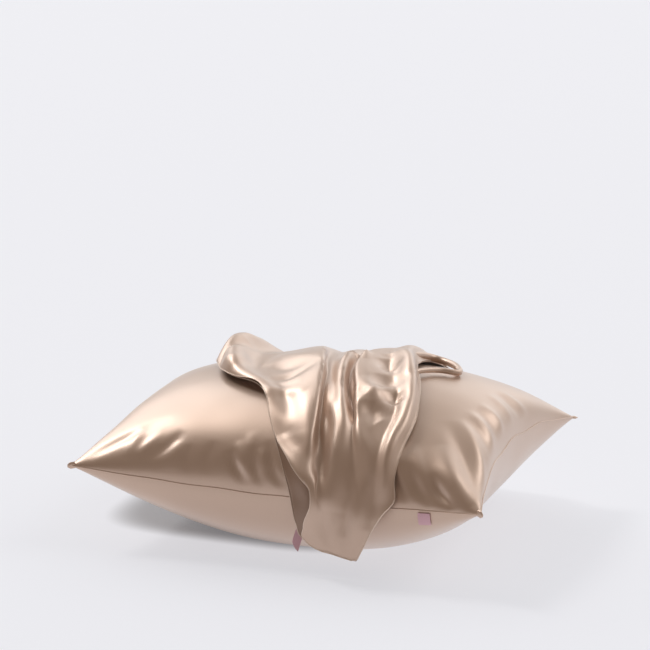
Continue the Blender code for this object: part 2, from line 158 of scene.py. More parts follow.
# A fold's ridge passes x with a height, spreads over a foot on each side and leans sideways.
Station = namedtuple("Station", "along x height left_foot right_foot lean")
FOLDS = {
    "left roll": (
        Station(-0.350, -0.110, 0.004, 0.024, 0.026, 0.000),
        Station(-0.280, -0.155, 0.016, 0.024, 0.026, 0.000),
        Station(-0.190, -0.162, 0.012, 0.026, 0.026, 0.000),
        Station(-0.110, -0.160, 0.025, 0.014, 0.012, 0.000),
        Station(-0.040, -0.159, 0.034, 0.011, 0.012, -0.004),
        Station(0.020, -0.144, 0.028, 0.011, 0.014, -0.004),
        Station(0.065, -0.112, 0.014, 0.012, 0.016, -0.002),
        Station(0.105, -0.066, 0.003, 0.010, 0.018, 0.000),
        Station(0.150, -0.030, 0.000, 0.010, 0.018, 0.000),
    ),
    "left pleat": (
        Station(-0.350, -0.060, 0.004, 0.024, 0.024, 0.000),
        Station(-0.280, -0.080, 0.014, 0.024, 0.022, 0.000),
        Station(-0.190, -0.060, 0.010, 0.030, 0.022, 0.000),
        Station(-0.090, -0.048, 0.009, 0.032, 0.014, 0.004),
        Station(-0.040, -0.034, 0.013, 0.026, 0.009, 0.008),
        Station(0.000, -0.019, 0.016, 0.024, 0.006, 0.009),
        Station(0.050, 0.000, 0.017, 0.022, 0.006, 0.009),
        Station(0.110, 0.018, 0.016, 0.022, 0.006, 0.009),
        Station(0.165, 0.032, 0.014, 0.020, 0.006, 0.008),
        Station(0.205, 0.040, 0.012, 0.018, 0.007, 0.005),
        Station(0.240, 0.046, 0.009, 0.016, 0.009, 0.002),
        Station(0.270, 0.054, 0.006, 0.014, 0.011, 0.000),
        Station(0.300, 0.060, 0.003, 0.012, 0.012, 0.000),
        Station(0.345, 0.066, 0.000, 0.012, 0.014, 0.000),
    ),
    "middle roll": (
        Station(-0.350, 0.000, 0.004, 0.022, 0.022, 0.000),
        Station(-0.280, -0.008, 0.014, 0.022, 0.022, 0.000),
        Station(-0.190, 0.006, 0.010, 0.022, 0.020, 0.000),
        Station(-0.080, 0.018, 0.007, 0.016, 0.012, 0.000),
        Station(-0.020, 0.024, 0.010, 0.010, 0.008, 0.002),
        Station(0.020, 0.030, 0.015, 0.009, 0.006, 0.004),
        Station(0.064, 0.042, 0.017, 0.009, 0.006, 0.004),
        Station(0.104, 0.056, 0.017, 0.010, 0.006, 0.004),
        Station(0.135, 0.069, 0.016, 0.010, 0.008, 0.003),
        Station(0.170, 0.082, 0.014, 0.010, 0.010, 0.002),
        Station(0.210, 0.090, 0.012, 0.010, 0.012, 0.000),
        Station(0.252, 0.092, 0.008, 0.012, 0.014, 0.000),
        Station(0.300, 0.094, 0.000, 0.014, 0.014, 0.000),
    ),
    "right pleat": (
        Station(-0.350, 0.060, 0.004, 0.022, 0.022, 0.000),
        Station(-0.280, 0.075, 0.014, 0.022, 0.022, 0.000),
        Station(-0.190, 0.070, 0.010, 0.020, 0.026, 0.000),
        Station(-0.080, 0.066, 0.013, 0.012, 0.030, 0.000),
        Station(-0.030, 0.058, 0.014, 0.007, 0.032, -0.004),
        Station(0.026, 0.062, 0.014, 0.005, 0.036, -0.006),
        Station(0.098, 0.088, 0.014, 0.005, 0.034, -0.006),
        Station(0.135, 0.101, 0.013, 0.006, 0.030, -0.005),
        Station(0.164, 0.110, 0.011, 0.007, 0.026, -0.003),
        Station(0.200, 0.122, 0.008, 0.010, 0.022, 0.000),
        Station(0.240, 0.138, 0.003, 0.014, 0.014, 0.000),
        Station(0.280, 0.146, 0.000, 0.014, 0.014, 0.000),
    ),
    "right roll": (
        Station(-0.350, 0.110, 0.004, 0.024, 0.024, 0.000),
        Station(-0.280, 0.140, 0.012, 0.024, 0.024, 0.000),
        Station(-0.190, 0.105, 0.006, 0.024, 0.020, 0.000),
        Station(-0.110, 0.098, 0.017, 0.018, 0.012, 0.000),
        Station(-0.060, 0.100, 0.021, 0.016, 0.010, 0.002),
        Station(0.012, 0.126, 0.021, 0.014, 0.008, 0.004),
        Station(0.066, 0.148, 0.019, 0.011, 0.007, 0.004),
        Station(0.108, 0.160, 0.017, 0.009, 0.007, 0.004),
        Station(0.154, 0.166, 0.015, 0.008, 0.007, 0.004),
        Station(0.190, 0.164, 0.013, 0.008, 0.007, 0.004),
        Station(0.222, 0.164, 0.011, 0.008, 0.008, 0.003),
        Station(0.250, 0.166, 0.007, 0.008, 0.008, 0.002),
        Station(0.280, 0.162, 0.002, 0.010, 0.010, 0.000),
        Station(0.310, 0.154, 0.000, 0.010, 0.010, 0.000),
    ),
}

# A crease with a negative height is a trough.
Crease = namedtuple("Crease", "height width route")

# Routes are pairs of x and along.
DRAPE_CREASES = (
    # The puffed lobe at the back left.
    Crease(0.004, 0.005, ((-0.150, -0.100), (-0.168, -0.060), (-0.170, -0.010), (-0.156, 0.050))),
    Crease(-0.011, 0.006, ((-0.140, 0.040), (-0.154, 0.004), (-0.150, -0.054))),
    Crease(0.006, 0.006, ((-0.128, 0.064), (-0.124, 0.030), (-0.138, -0.010), (-0.136, -0.070))),
    Crease(-0.004, 0.009, ((-0.098, 0.060), (-0.108, 0.000), (-0.112, -0.060))),
    # The left pleat.
    Crease(-0.004, 0.012, ((-0.090, 0.014), (-0.060, 0.034), (-0.024, 0.040))),
    Crease(0.003, 0.009, ((-0.096, -0.044), (-0.066, -0.014), (-0.044, 0.010), (-0.020, 0.030))),
    Crease(0.003, 0.010, ((-0.070, 0.066), (-0.038, 0.090), (-0.008, 0.086))),
    Crease(
        0.006,
        0.011,
        ((-0.100, 0.060), (-0.074, 0.092), (-0.046, 0.124), (-0.020, 0.164), (0.000, 0.195)),
    ),
    Crease(-0.004, 0.009, ((-0.066, 0.084), (-0.044, 0.078), (-0.022, 0.058), (-0.010, 0.030))),
    Crease(0.004, 0.008, ((-0.060, 0.126), (-0.040, 0.116), (-0.018, 0.116), (0.004, 0.126))),
    Crease(0.003, 0.010, ((-0.030, 0.040), (-0.014, 0.092), (0.004, 0.140), (0.024, 0.190))),
    Crease(0.002, 0.009, ((-0.050, 0.110), (-0.022, 0.150), (0.008, 0.184), (0.030, 0.212))),
    Crease(-0.0025, 0.010, ((-0.044, 0.128), (-0.022, 0.165), (0.006, 0.205))),
    # The middle section and the arched roll beside its hollow.
    Crease(0.004, 0.005, ((0.026, 0.074), (0.048, 0.127), (0.069, 0.159), (0.082, 0.192), (0.092, 0.262))),
    Crease(
        0.006,
        0.005,
        ((0.066, 0.014), (0.057, -0.010), (0.040, -0.020), (0.027, -0.010), (0.030, 0.030)),
    ),
    Crease(-0.005, 0.005, ((0.008, 0.000), (0.028, 0.056), (0.046, 0.098), (0.064, 0.140))),
    Crease(-0.004, 0.007, ((0.030, 0.130), (0.042, 0.172), (0.060, 0.206), (0.084, 0.258))),
    Crease(-0.003, 0.004, ((0.062, 0.132), (0.078, 0.170), (0.092, 0.214))),
    Crease(-0.008, 0.006, ((0.034, 0.012), (0.044, 0.050), (0.058, 0.088), (0.078, 0.124), (0.104, 0.170))),
    Crease(0.003, 0.007, ((0.080, 0.150), (0.112, 0.183), (0.134, 0.210), (0.146, 0.245))),
    # The crumpled right section, round its star.
    Crease(0.0045, 0.007, ((0.084, 0.072), (0.100, 0.092), (0.114, 0.106), (0.130, 0.124), (0.150, 0.134))),
    Crease(0.0040, 0.007, ((0.146, 0.066), (0.130, 0.088), (0.114, 0.106), (0.104, 0.130), (0.100, 0.160))),
    Crease(-0.0050, 0.009, ((0.106, 0.050), (0.116, 0.072), (0.122, 0.088))),
    Crease(-0.0045, 0.008, ((0.140, 0.090), (0.142, 0.108), (0.146, 0.118))),
    Crease(-0.0050, 0.009, ((0.112, 0.126), (0.122, 0.146), (0.138, 0.158))),
    Crease(
        0.005,
        0.006,
        ((0.078, -0.016), (0.094, -0.028), (0.110, -0.012), (0.124, 0.014), (0.131, 0.044), (0.108, 0.050)),
    ),
    Crease(-0.008, 0.008, ((0.088, -0.006), (0.102, 0.018), (0.116, 0.022))),
    Crease(0.004, 0.009, ((0.126, 0.140), (0.146, 0.162), (0.150, 0.192), (0.150, 0.224), (0.156, 0.260))),
    Crease(0.003, 0.004, ((0.144, 0.076), (0.157, 0.134), (0.159, 0.187), (0.160, 0.216), (0.168, 0.244))),
    # The soft bend over the pillow's front seam, and the hanging corner.
    Crease(0.004, 0.018, ((-0.020, 0.262), (0.050, 0.268), (0.110, 0.270), (0.210, 0.264))),
    Crease(0.003, 0.009, ((0.066, 0.270), (0.068, 0.318), (0.084, 0.350), (0.104, 0.366))),
    Crease(0.004, 0.009, ((0.092, 0.235), (0.094, 0.285), (0.098, 0.330), (0.106, 0.362))),
    Crease(-0.003, 0.008, ((0.110, 0.240), (0.112, 0.290), (0.114, 0.335))),
    Crease(0.004, 0.009, ((0.130, 0.235), (0.134, 0.280), (0.130, 0.325), (0.126, 0.360))),
    Crease(-0.003, 0.008, ((0.154, 0.240), (0.152, 0.280), (0.146, 0.320))),
    Crease(0.002, 0.014, ((0.060, 0.300), (0.084, 0.288), (0.111, 0.292), (0.150, 0.272))),
)

# The loop's x, along, height over the pillow and radius.
BACK_LOOP = (
    (0.100, -0.020, 0.012, 0.0060),
    (0.113, -0.078, 0.010, 0.0060),
    (0.126, -0.104, 0.008, 0.0058),
    (0.146, -0.102, 0.006, 0.0055),
    (0.168, -0.080, 0.005, 0.0052),
    (0.184, -0.050, 0.004, 0.0048),
    (0.178, -0.036, 0.004, 0.0042),
    (0.160, -0.026, 0.004, 0.0042),
    (0.140, 0.006, 0.006, 0.0040),
    (0.134, 0.030, 0.006, 0.0036),
)

# Routes are pairs of s and t on the pillow's upper face.
PILLOW_CREASES = (
    Crease(-0.0025, 0.006, ((-0.50, -0.80), (-0.56, -0.90), (-0.63, -0.97))),
    Crease(0.002, 0.006, ((-0.73, -0.74), (-0.73, -0.88), (-0.72, -0.96))),
    Crease(0.002, 0.006, ((-0.60, -0.80), (-0.66, -0.90), (-0.70, -0.97))),
    Crease(-0.002, 0.006, ((-0.60, -0.68), (-0.75, -0.80), (-0.86, -0.89), (-0.95, -0.965))),
    Crease(-0.0012, 0.005, ((-0.45, -0.88), (-0.44, -0.99))),
    Crease(-0.0014, 0.006, ((-0.33, -0.86), (-0.35, -0.99))),
    Crease(0.0012, 0.008, ((-0.51, -0.86), (-0.51, -0.99))),
    Crease(-0.003, 0.0045, ((-0.24, -0.90), (-0.21, -0.955), (-0.15, -0.998))),
    Crease(0.003, 0.005, ((-0.21, -0.85), (-0.17, -0.94), (-0.12, -0.99))),
    Crease(-0.0028, 0.004, ((-0.14, -0.87), (-0.11, -0.96), (-0.07, -0.998))),
    Crease(0.0015, 0.005, ((-0.16, -0.79), (-0.145, -0.89), (-0.13, -0.96))),
    Crease(0.002, 0.004, ((-0.09, -0.88), (-0.05, -0.97))),
    Crease(-0.0026, 0.005, ((-0.07, -0.84), (-0.02, -0.96), (0.05, -0.998))),
    Crease(-0.005, 0.009, ((0.72, -0.46), (0.83, -0.62), (0.92, -0.77), (0.985, -0.92))),
    Crease(0.006, 0.010, ((0.74, -0.68), (0.84, -0.86), (0.94, -0.985))),
    Crease(-0.003, 0.008, ((0.62, -0.82), (0.74, -0.94), (0.84, -0.995))),
    Crease(0.0025, 0.006, ((0.76, -0.39), (0.86, -0.49), (0.95, -0.62), (0.995, -0.74))),
    Crease(-0.002, 0.006, ((0.79, -0.34), (0.90, -0.40), (0.98, -0.48))),
    Crease(0.0025, 0.006, ((0.78, -0.26), (0.90, -0.31), (0.985, -0.37))),
    Crease(-0.002, 0.006, ((0.80, -0.20), (0.90, -0.21), (0.98, -0.25))),
    Crease(0.0025, 0.006, ((0.80, -0.11), (0.91, -0.11), (0.985, -0.14))),
    Crease(0.002, 0.006, ((0.79, 0.10), (0.89, 0.07), (0.98, 0.08))),
    Crease(-0.002, 0.006, ((0.80, 0.18), (0.90, 0.20), (0.98, 0.24))),
    Crease(0.002, 0.006, ((0.80, 0.27), (0.91, 0.30), (0.98, 0.36))),
    Crease(0.0060, 0.017, ((0.36, -0.82), (0.52, -0.85), (0.68, -0.88), (0.86, -0.93))),
    Crease(-0.0045, 0.006, ((0.40, -0.84), (0.44, -0.93), (0.50, -0.998))),
    Crease(-0.0045, 0.006, ((0.51, -0.85), (0.57, -0.94), (0.64, -0.998))),
    Crease(-0.0045, 0.006, ((0.61, -0.87), (0.68, -0.95), (0.76, -0.998))),
    Crease(-0.0045, 0.005, ((0.73, -0.89), (0.80, -0.96), (0.87, -0.998))),
    Crease(0.0015, 0.008, ((0.50, -0.72), (0.56, -0.88), (0.62, -0.99))),
    Crease(0.0022, 0.006, ((0.62, -0.74), (0.69, -0.88), (0.74, -0.99))),
    Crease(-0.0020, 0.006, ((0.66, -0.78), (0.76, -0.91), (0.82, -0.99))),
)


# ---- Shape of the pillow. s and t run from -1 to 1 across its length and its width.


def seam_height(s, t):
    sag = LONG_SIDE_SAG * (1 - s**2) * t**2
    lift = SHORT_SIDE_LIFT * (1 - t**2) * s**2
    return CORNER_HEIGHT - sag + lift + FRONT_TO_BACK_RISE * t


def seam_wave(s, t):
    """The slight ups and downs of a seam that the filling pulls on."""

    def wave(shape, run, away):
        height, rate, start = shape
        return height * np.sin(rate * run + start) * abs(away) ** SEAM_WAVE_REACH * (1 - run**2)

    return wave(SHORT_SEAM_WAVE, t, s) + wave(LONG_SEAM_WAVE, s, t)


def bulge(s, t, roundness):
    """1 at the middle and 0 all along the seam."""
    return np.clip(1 - s**2, 0, 1) ** roundness[0] * np.clip(1 - t**2, 0, 1) ** roundness[1]


def top_height(s, t):
    crown = CROWN_HEIGHT * (1 + CROWN_GROWS_TO_RIGHT * s)
    return seam_height(s, t) + crown * bulge(s, t, TOP_ROUNDNESS)


def underside_height(s, t):
    """The lower face, which flattens softly where it meets the floor."""
    free = seam_height(s, t) - UNDERSIDE_DEPTH * bulge(s, t, UNDERSIDE_ROUNDNESS)
    blend = (free + FLOOR_BLEND) ** 2 / (4 * FLOOR_BLEND)
    return np.where(free > FLOOR_BLEND, free, np.where(free < -FLOOR_BLEND, 0.0, blend))


def pillow_xy(s, t):
    """The place of a point, with the seam tucked in behind the faces that bulge past it."""
    x = HALF_LENGTH * s * (1 - SHORT_SIDE_DRAWN_IN * (1 - t**2))
    y = HALF_WIDTH * t * (1 - LONG_SIDE_DRAWN_IN * (1 - s**2))
    x_tuck = SHORT_SEAM_TUCK * (1 - t**2) * abs(s) ** TUCK_REACH
    y_tuck = LONG_SEAM_TUCK * (1 - s**2) * abs(t) ** TUCK_REACH
    return x - np.sign(s) * x_tuck, y - np.sign(t) * y_tuck


def pillow_st(x, y):
    """The s and t of a point on the pillow, found by repeated substitution."""
    s, t = x / HALF_LENGTH, y / HALF_WIDTH
    for _ in range(PLACE_STEPS):
        s, t = (
            np.clip(x / (HALF_LENGTH * (1 - SHORT_SIDE_DRAWN_IN * (1 - t**2))), -1, 1),
            np.clip(y / (HALF_WIDTH * (1 - LONG_SIDE_DRAWN_IN * (1 - s**2))), -1, 1),
        )
    return s, t


# ---- The surface that the draped cloth follows, as a grid over x and along.


def front_to_back_path(x):
    """Distances, y and z of the path over the pillow at x, from floor to floor."""
    s = x / HALF_LENGTH
    edge = HALF_WIDTH * (1 - LONG_SIDE_DRAWN_IN * (1 - s**2))
    y_over = edge * np.cos(np.linspace(0, np.pi, PATH_SAMPLES))
    z_over = top_height(*pillow_st(x + 0 * y_over, y_over)) + CLOTH_GAP
    turn = np.linspace(0, np.pi / 2, BEND_SAMPLES)[1:]
    drop = np.linspace(0, HANG_SHARE, HANG_SAMPLES)[1:]

    def hang(side, z_seam):
        y_bend = side * (edge + SEAM_BEND * np.sin(turn))
        z_bend = z_seam - SEAM_BEND * (1 - np.cos(turn))
        y_drop = y_bend[-1] + side * HANG_DRIFT * drop
        z_drop = z_bend[-1] * (1 - drop)
        return np.append(y_bend, y_drop), np.append(z_bend, z_drop)

    y_front, z_front = hang(-1, z_over[-1])
    y_back, z_back = hang(1, z_over[0])
    y = np.concatenate([y_back[::-1], y_over, y_front])
    z = np.concatenate([z_back[::-1], z_over, z_front])
    along = np.append(0, np.cumsum(np.hypot(np.diff(y), np.diff(z))))
    crown = len(y_back) + PATH_SAMPLES // 2
    return along - along[crown], y, z


def soften(values):
    """The values of a path on BASE_ALONG, with its bends over the seams rounded off."""
    step = BASE_ALONG[1] - BASE_ALONG[0]
    reach = np.arange(-SOFTEN_STEPS, SOFTEN_STEPS + 1) * step
    weights = np.exp(-((reach / SOFTEN_REACH) ** 2) / 2)
    padded = np.pad(values, SOFTEN_STEPS, mode="reflect", reflect_type="odd")
    return np.convolve(padded, weights / weights.sum(), mode="valid")


def base_surface():
    """Points and upward normals of the followed surface on the BASE_X by BASE_ALONG grid."""
    points = np.zeros((len(BASE_X), len(BASE_ALONG), 3))
    for i, x in enumerate(BASE_X):
        along, y, z = front_to_back_path(x)
        points[i, :, 0] = x
        points[i, :, 1] = soften(np.interp(BASE_ALONG, along, y))
        points[i, :, 2] = soften(np.interp(BASE_ALONG, along, z))
    across = np.gradient(points, BASE_X, axis=0)
    down = np.gradient(points, BASE_ALONG, axis=1)
    normals = np.cross(down, across)
    normals /= np.linalg.norm(normals, axis=2, keepdims=True)
    return points, normals


def sample_grid(grid, x, along):
    """Bilinear values of a grid of vectors at each x and along."""
    i = np.clip((x - BASE_X[0]) / (BASE_X[1] - BASE_X[0]), 0, len(BASE_X) - 1.001)
    j = np.clip(
        (along - BASE_ALONG[0]) / (BASE_ALONG[1] - BASE_ALONG[0]), 0, len(BASE_ALONG) - 1.001
    )
    i0, j0 = i.astype(int), j.astype(int)
    u, v = (i - i0)[..., None], (j - j0)[..., None]
    low = grid[i0, j0] * (1 - v) + grid[i0, j0 + 1] * v
    high = grid[i0 + 1, j0] * (1 - v) + grid[i0 + 1, j0 + 1] * v
    return low * (1 - u) + high * u


# ---- Shape of the draped case.


def curve_between(values, slopes, k, q, span=1):
    """The value a share q of the way from value k to the next, on a cubic with these slopes."""
    start = values[k] * (1 + 2 * q) * (1 - q) ** 2 + slopes[k] * span * q * (1 - q) ** 2
    end = values[k + 1] * (3 - 2 * q) * q**2 - slopes[k + 1] * span * q**2 * (1 - q)
    return start + end


def smooth_column(rows, name, along):
    """A column of a table at a distance along, on a smooth curve through its rows."""
    places = [row.along for row in rows]
    values = np.array([getattr(row, name) for row in rows])
    slopes = np.gradient(values, places)
    k = int(np.clip(np.searchsorted(places, along) - 1, 0, len(rows) - 2))
    span = places[k + 1] - places[k]
    q = float(np.clip((along - places[k]) / span, 0, 1))
    return float(curve_between(values, slopes, k, q, span))


def fold_shape(x, along):
    """How far the folds lift the cloth and carry it sideways, at each x of one row."""
    height = np.zeros_like(x)
    shift = np.zeros_like(x)
    for stations in FOLDS.values():
        if not stations[0].along <= along <= stations[-1].along:
            continue
        middle, top, left, right, lean = (
            smooth_column(stations, name, along) for name in Station._fields[1:]
        )
        away = np.where(x < middle, (x - middle) / left, (x - middle) / right)
        ridge = np.exp(-(away**2) / 2)
        height = np.hypot(height, top * ridge)
        shift += lean * ridge
    return height, shift


def smooth_route(route):
    """Points close together on a smooth curve through the route's own points."""
    route = np.array(route, float)
    slopes = np.gradient(route, axis=0)
    q = np.linspace(0, 1, ROUTE_SAMPLES, endpoint=False)[:, None]
    runs = [curve_between(route, slopes, k, q) for k in range(len(route) - 1)]
    return np.concatenate([*runs, route[-1:]])


def distance_and_share(points, route):
    """How far each point is from a route, and the share of the route that lies before it."""
    steps = np.linalg.norm(points[:, None, :] - route[None], axis=2)
    closest = steps.argmin(axis=1)
    away, share = steps.min(axis=1), closest / (len(route) - 1)
    for start in (np.maximum(closest - 1, 0), np.minimum(closest, len(route) - 2)):
        span = route[start + 1] - route[start]
        q = ((points - route[start]) * span).sum(axis=1) / (span**2).sum(axis=1)
        q = np.clip(q, 0, 1)
        gap = np.linalg.norm(points - route[start] - q[:, None] * span, axis=1)
        share = np.where(gap < away, (start + q) / (len(route) - 1), share)
        away = np.minimum(gap, away)
    return away, share


def crease_height(points, creases, to_space=lambda route: route):
    """How far the creases lift each point. to_space turns a route into the space of the points."""
    flat = points.reshape(-1, points.shape[-1])
    height = np.zeros(len(flat))
    for crease in creases:
        route = to_space(smooth_route(crease.route))
        reach = CREASE_REACH * crease.width
        near = np.all((flat > route.min(axis=0) - reach) & (flat < route.max(axis=0) + reach), axis=1)
        if not near.any():
            continue
        away, share = distance_and_share(flat[near], route)
        across = np.exp(-((away / crease.width) ** 2) / 2)
        height[near] += crease.height * np.sin(np.pi * share) * across
    return height.reshape(points.shape[:-1])


def row_alongs():
    """Rows close together over the crown and the front, and wider apart behind."""
    behind = np.linspace(SECTIONS[0].along, FINE_FROM, ROWS_BEHIND, endpoint=False)
    return np.append(behind, np.linspace(FINE_FROM, SECTIONS[-1].along, ROWS_IN_FRONT))


def relief(x, along):
    """How far folds and creases lift the cloth and carry it sideways, for a grid of places."""
    folds = [fold_shape(row_x, row_along[0]) for row_x, row_along in zip(x, along)]
    height = np.array([fold[0] for fold in folds])
    shift = np.array([fold[1] for fold in folds])
    return height + crease_height(np.stack([x, along], axis=-1), DRAPE_CREASES), shift


def panel_places():
    """x and along of each point of a panel, and how far the front panel's edge stands off."""
    alongs = row_alongs()
    left, right, strip, lift = (
        np.array([smooth_column(SECTIONS, name, along) for along in alongs])[:, None]
        for name in Section._fields[1:]
    )
    right = np.maximum(right, left + LEAST_WIDTH)
    fine = left + (right - left) * np.linspace(0, 1, ROW_SAMPLES)
    height, shift = relief(fine, np.repeat(alongs[:, None], ROW_SAMPLES, axis=1))
    steps = np.hypot(np.diff(fine + shift, axis=1), np.diff(height, axis=1))
    lengths = np.concatenate([0 * left, np.cumsum(steps, axis=1)], axis=1)
    share = np.linspace(0, 1, PANEL_COLUMNS + 1)
    front = np.array([np.interp(share * row[-1], row, place) for row, place in zip(lengths, fine)])
    strip_shares = np.linspace(1.0, STRIP_INNER_SHARE, STRIP_COLUMNS)
    outer = left - np.maximum(strip, LEAST_STRIP) * strip_shares
    x = np.concatenate([outer, front], axis=1)
    lifts = PANEL_SPACING + lift * np.exp(-(((front - left) / EDGE_LIFT_REACH) ** 2))
    return x, np.repeat(alongs[:, None], x.shape[1], axis=1), lifts


def cloth_points(surface, x, along):
    """Points of the cloth on top of its folds and creases."""
    height, shift = relief(x, along)
    points = sample_grid(surface[0], x + shift, along)
    normals = sample_grid(surface[1], x + shift, along)
    normals /= np.linalg.norm(normals, axis=2, keepdims=True)
    return points + normals * height[..., None]


def grid_normals(grid):
    """Unit normals of a grid of points. They point up on the panels and on the pillow's top."""
    across = np.gradient(grid, axis=1)
    down = np.gradient(grid, axis=0)
    normals = np.cross(down, across)
    return normals / np.maximum(np.linalg.norm(normals, axis=2, keepdims=True), 1e-12)


def panel_grids(surface):
    """The middle surfaces of the front and the back panel, as grids of points."""
    x, along, lifts = panel_places()
    back = cloth_points(surface, x, along)
    upward = grid_normals(back)
    front = back[:, STRIP_COLUMNS:] + upward[:, STRIP_COLUMNS:] * lifts[:, :, None]
    return front, back


# ---- Meshes.


def new_object(name, data):
    obj = bpy.data.objects.new(name, data)
    bpy.context.scene.collection.objects.link(obj)
    return obj


def mesh_object(name, points, faces, material, uv=None):
    """A smooth mesh. The UV map, when given, has a place for each corner of each face."""
    mesh = bpy.data.meshes.new(name)
    mesh.from_pydata(points.tolist(), [], faces)
    if uv is not None:
        layer = mesh.uv_layers.new(name="cloth")
        layer.data.foreach_set("uv", uv.reshape(-1).astype(np.float32))
    mesh.materials.append(material)
    mesh.shade_smooth()
    return new_object(name, mesh)


def grid_faces(index):
    """The four-sided faces between the points of a grid of point numbers."""
    corners = [index[:-1, :-1], index[1:, :-1], index[1:, 1:], index[:-1, 1:]]
    return np.stack(corners, axis=-1).reshape(-1, 4)


def grid_object(name, grid, material):
    """An open surface through a grid of points, with a UV map in metres of cloth."""
    rows, columns = grid.shape[:2]
    faces = grid_faces(np.arange(rows * columns).reshape(rows, columns))
    across = np.linalg.norm(np.diff(grid, axis=1), axis=2)
    down = np.linalg.norm(np.diff(grid, axis=0), axis=2)
    u = np.concatenate([np.zeros((rows, 1)), np.cumsum(across, axis=1)], axis=1)
    u -= u[:, columns // 2 : columns // 2 + 1]
    v = np.concatenate([np.zeros((1, columns)), np.cumsum(down, axis=0)], axis=0)
    uv = np.stack([u, v], axis=-1).reshape(-1, 2)
    return mesh_object(name, grid.reshape(-1, 3), faces.tolist(), material, uv[faces])


def thicken(obj, thickness):
    """Gives an open surface its thickness, as plain geometry."""
    solid = obj.modifiers.new("thickness", "SOLIDIFY")
    solid.thickness = thickness
    solid.offset = 0
    graph = bpy.context.evaluated_depsgraph_get()
    mesh = bpy.data.meshes.new_from_object(obj.evaluated_get(graph))
    obj.modifiers.clear()
    obj.data = mesh
    mesh.shade_smooth()


def ripples(points):
    """The slight unevenness of soft filling under thin cloth."""
    flat = points.reshape(-1, 3) / RIPPLE_SPACING
    values = [noise.noise(Vector(point)) for point in flat]
    return RIPPLE_HEIGHT * np.array(values).reshape(points.shape[:-1])


def on_upper_face(route):
    """The places in space of a route of s and t on the pillow's upper face."""
    s, t = route[:, 0], route[:, 1]
    return np.stack([*pillow_xy(s, t), top_height(s, t)], axis=-1)


def pillow_object(material):
    """A closed surface: an upper and a lower grid that share the seam."""
    columns, rows = PILLOW_CELLS
    s_values = np.sin(np.linspace(-np.pi / 2, np.pi / 2, columns + 1))
    t_values = np.sin(np.linspace(-np.pi / 2, np.pi / 2, rows + 1))
    s, t = np.meshgrid(s_values, t_values, indexing="ij")
    x, y = pillow_xy(s, t)
    top = np.stack([x, y, top_height(s, t) + seam_wave(s, t)], axis=-1)
    lift = crease_height(top, PILLOW_CREASES, on_upper_face)
    lift -= ripples(top) * bulge(s, t, RIPPLE_FADE)
    top += grid_normals(top) * lift[..., None]
    top = top.reshape(-1, 3)
    under = np.stack([x, y, underside_height(s, t) + seam_wave(s, t)], axis=-1).reshape(-1, 3)
    index = np.arange((columns + 1) * (rows + 1)).reshape(columns + 1, rows + 1)
    below = index + index.size
    rim = np.zeros(index.shape, bool)
    rim[[0, -1], :] = True
    rim[:, [0, -1]] = True
    below[rim] = index[rim]
    faces = np.concatenate([grid_faces(index), grid_faces(below)[:, ::-1]])
    points = np.concatenate([top, under])
    used, renumbered = np.unique(faces, return_inverse=True)
    renumbered = renumbered.reshape(-1, 4).tolist()
    uv = np.stack([x, y], axis=-1).reshape(-1, 2)
    uv = np.concatenate([uv, uv + UNDERSIDE_CLOTH_SHIFT])
    return mesh_object("satin_pillow", points[used], renumbered, material, uv[faces])


def tube_object(name, centres, radii, material, sides=12, flatness=1.0):
    """A tube with closed ends round a line of centres. Flatness is its height over its width."""
    tangents = np.gradient(centres, axis=0)
    tangents /= np.linalg.norm(tangents, axis=1, keepdims=True)
    side = np.cross(tangents, (0.0, 0.0, 1.0))
    side /= np.maximum(np.linalg.norm(side, axis=1, keepdims=True), 1e-9)
    up = np.cross(side, tangents)
    turn = np.linspace(0, 2 * np.pi, sides, endpoint=False)[None, :, None]
    ring = np.cos(turn) * side[:, None] + flatness * np.sin(turn) * up[:, None]
    points = centres[:, None] + ring * np.asarray(radii)[:, None, None]
    count = len(centres)
    index = np.arange(count * sides).reshape(count, sides)
    nxt = np.roll(index, -1, axis=1)
    faces = np.stack([index[:-1], nxt[:-1], nxt[1:], index[1:]], axis=-1).reshape(-1, 4).tolist()
    faces.append(index[0, ::-1].tolist())
    faces.append(index[-1].tolist())
    return mesh_object(name, points.reshape(-1, 3), faces, material)


def even_tube(name, centres, radius, material, sides):
    """A tube of one radius, without the centres that nearly coincide with the one before."""
    away = np.append(1.0, np.linalg.norm(np.diff(centres, axis=0), axis=1))
    centres = centres[away > radius / 2]
    return tube_object(name, centres, np.full(len(centres), radius), material, sides)


def panel_hem(name, grid, material):
    """The stitched fold along all four edges of a panel."""
    edges = [grid[:, 0], grid[-1, 1:], grid[-2::-1, -1], grid[0, -2::-1]]
    return even_tube(name, np.concatenate(edges), HEM_RADIUS, material, HEM_SIDES)


def pillow_seam(material):
    """The thin raised line of the seam all round the pillow."""
    run = np.sin(np.linspace(-np.pi / 2, np.pi / 2, SEAM_CELLS))
    ones = np.ones_like(run)
    s = np.concatenate([run, ones, run[::-1], -ones])
    t = np.concatenate([-ones, run, ones, run[::-1]])
    centres = np.stack([*pillow_xy(s, t), seam_height(s, t)], axis=-1)
    centres[:, 2] += seam_wave(s, t)
    return even_tube("pillow_seam", centres, SEAM_RADIUS, material, SEAM_SIDES)


